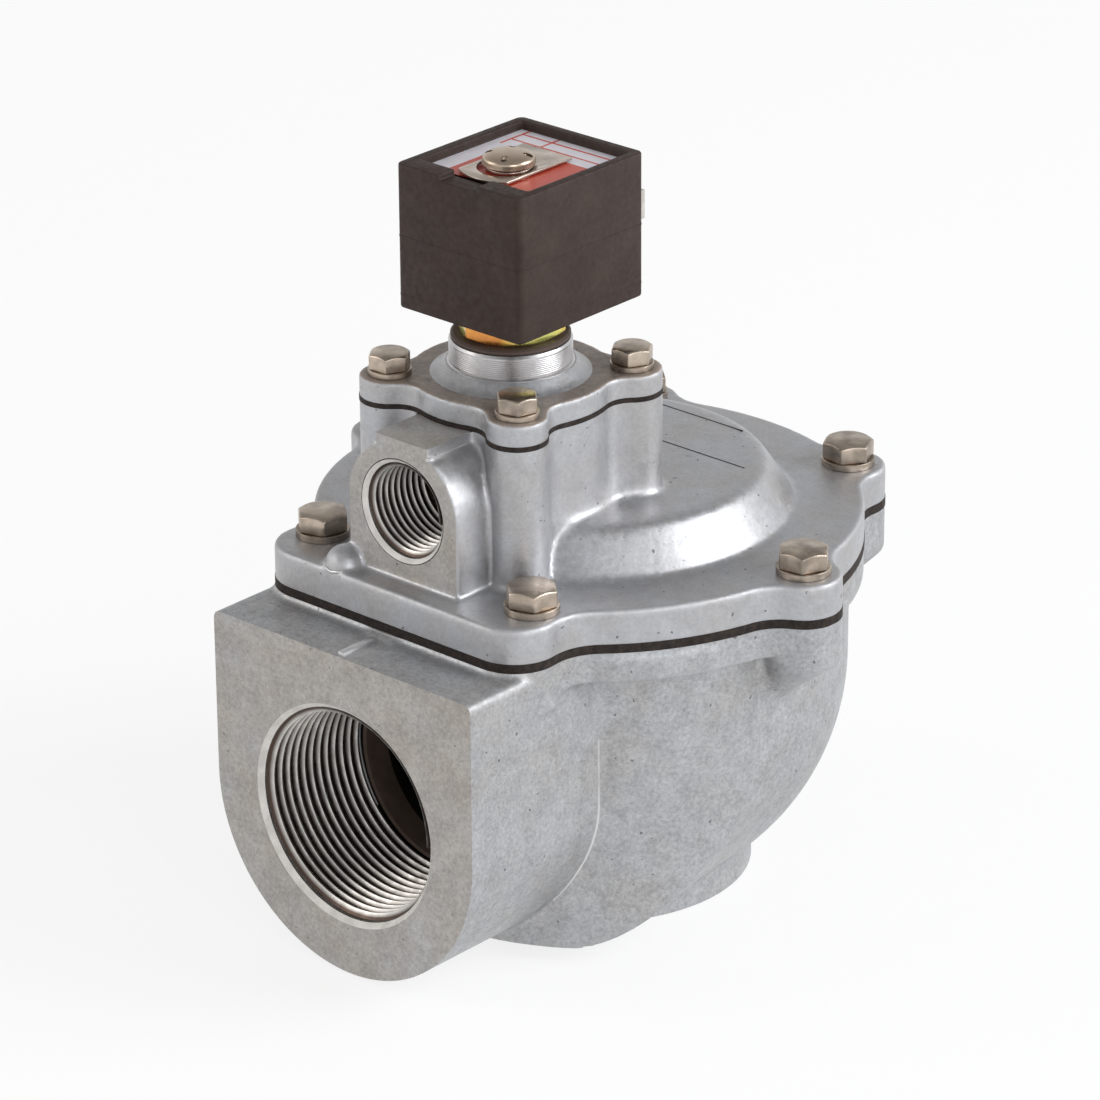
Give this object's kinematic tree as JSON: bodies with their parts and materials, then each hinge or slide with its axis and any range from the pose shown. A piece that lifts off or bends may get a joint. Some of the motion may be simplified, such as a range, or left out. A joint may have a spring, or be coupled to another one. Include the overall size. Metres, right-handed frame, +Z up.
{
  "type": "dust collector pulse valve",
  "caption": "Right-angle pulse valve: cast body with threaded side inlet and bottom outlet, bolted domed cover, piloted diaphragm and a solenoid coil on top.",
  "frame": {"origin": "centre of the outlet mouth, on the main diaphragm's axis", "axes": "+Z up along the outlet and diaphragm axis, inlet and exhaust ports facing -Y"},
  "size_m": [0.1352, 0.1373, 0.1694],
  "materials": {
    "cast_aluminium": "as-cast, lightly blasted",
    "turned_aluminium": "cast flange with a turned neck",
    "rubber": "matte, fabric reinforced",
    "bolt_steel": "zinc plated, dulled",
    "plate_steel": "pressed and plated",
    "spring_steel": "drawn wire",
    "yellow_zinc": "yellow passivated zinc",
    "magnet_steel": "turned stainless steel",
    "coil_plastic": "fine spark-eroded texture",
    "tinned_brass": "tinned",
    "label_film": "printed film",
    "clip_steel": "rolled spring steel"
  },
  "bodies": {
    "root": {"body": "cast_aluminium", "main_cover": "cast_aluminium", "pilot_cover": "turned_aluminium", "main_diaphragm": "rubber", "pilot_diaphragm": "rubber", "cover_bolts": "bolt_steel", "cover_washers": "bolt_steel", "pilot_bolts": "bolt_steel", "pilot_washers": "bolt_steel", "main_spring": "spring_steel", "pilot_spring": "spring_steel", "base_seal": "rubber", "solenoid_base": "yellow_zinc", "core_tube": "magnet_steel", "fixed_stop": "magnet_steel", "core_spring": "spring_steel", "clip_cap": "clip_steel"},
    "main_poppet": {"diaphragm_lower_plate": "plate_steel", "diaphragm_upper_plate": "plate_steel", "diaphragm_screw": "plate_steel", "diaphragm_nut": "plate_steel"},
    "pilot_poppet": {"pilot_upper_plate": "plate_steel", "pilot_rivet": "plate_steel"},
    "plunger": {"plunger_core": "magnet_steel", "core_seal": "rubber"},
    "coil": {"coil_housing": "coil_plastic", "coil_terminals": "tinned_brass", "coil_label": "label_film", "retaining_clip": "clip_steel"}
  },
  "joints": [
    {"name": "main_lift", "type": "slide", "parent": "root", "child": "main_poppet", "axis": [0, 0, 1], "range_m": [0, 0.008], "stiffness_N_per_m": 2000, "springref_m": -0.004, "deforming": ["main_diaphragm", "main_spring"]},
    {"name": "pilot_lift", "type": "slide", "parent": "root", "child": "pilot_poppet", "axis": [0, 0, 1], "range_m": [0, 0.003], "stiffness_N_per_m": 300, "springref_m": -0.003, "deforming": ["pilot_diaphragm", "pilot_spring"]},
    {"name": "plunger_lift", "type": "slide", "parent": "root", "child": "plunger", "axis": [0, 0, 1], "range_m": [0, 0.002], "stiffness_N_per_m": 500, "springref_m": -0.004, "deforming": ["core_spring"]},
    {"name": "coil_swivel", "type": "hinge", "parent": "root", "child": "coil", "pos_m": [0, -0.0245, 0.15], "axis": [0, 0, 1], "continuous": true}
  ]
}
